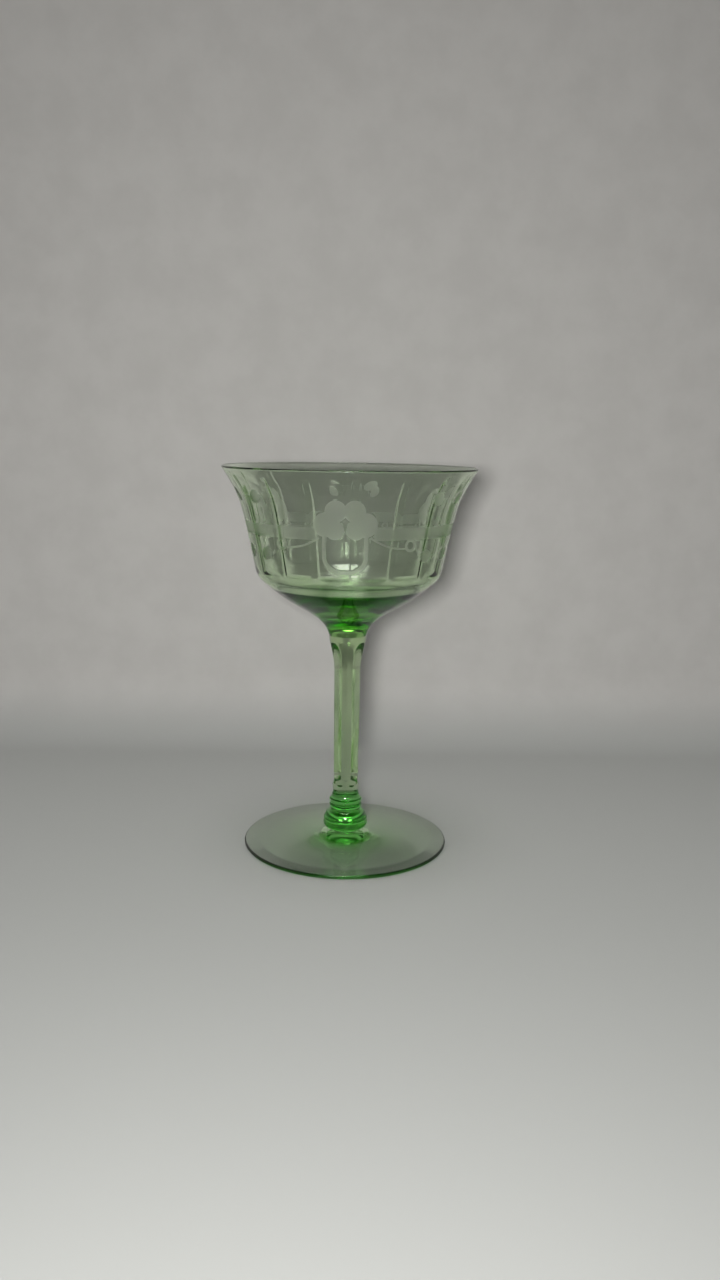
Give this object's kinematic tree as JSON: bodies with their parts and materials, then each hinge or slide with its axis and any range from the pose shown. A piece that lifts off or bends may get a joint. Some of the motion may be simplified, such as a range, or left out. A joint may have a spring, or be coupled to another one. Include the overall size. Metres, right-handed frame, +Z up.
{
  "type": "stemmed cocktail glass",
  "caption": "Stemmed cocktail glass in green glass: a flared bowl with inside flutes and ground sprays, a faceted stem, a ringed collar and knop, and a thin round foot.",
  "frame": {"origin": "on the table plane, under the middle of the foot", "axes": "+Z up along the axis of the glass; -Y towards the viewer of the picture; +X to the viewer's right"},
  "size_m": [0.087, 0.087, 0.134],
  "materials": {
    "bowl_glass": "clear pale green, fire polished, with matt ground cuts on the outside",
    "stem_glass": "clear green, polished",
    "foot_glass": "clear green, fire polished"
  },
  "bodies": {
    "root": {"bowl": "bowl_glass", "stem": "stem_glass", "stem_collar": "stem_glass", "knop": "stem_glass", "foot": "foot_glass"}
  },
  "joints": []
}
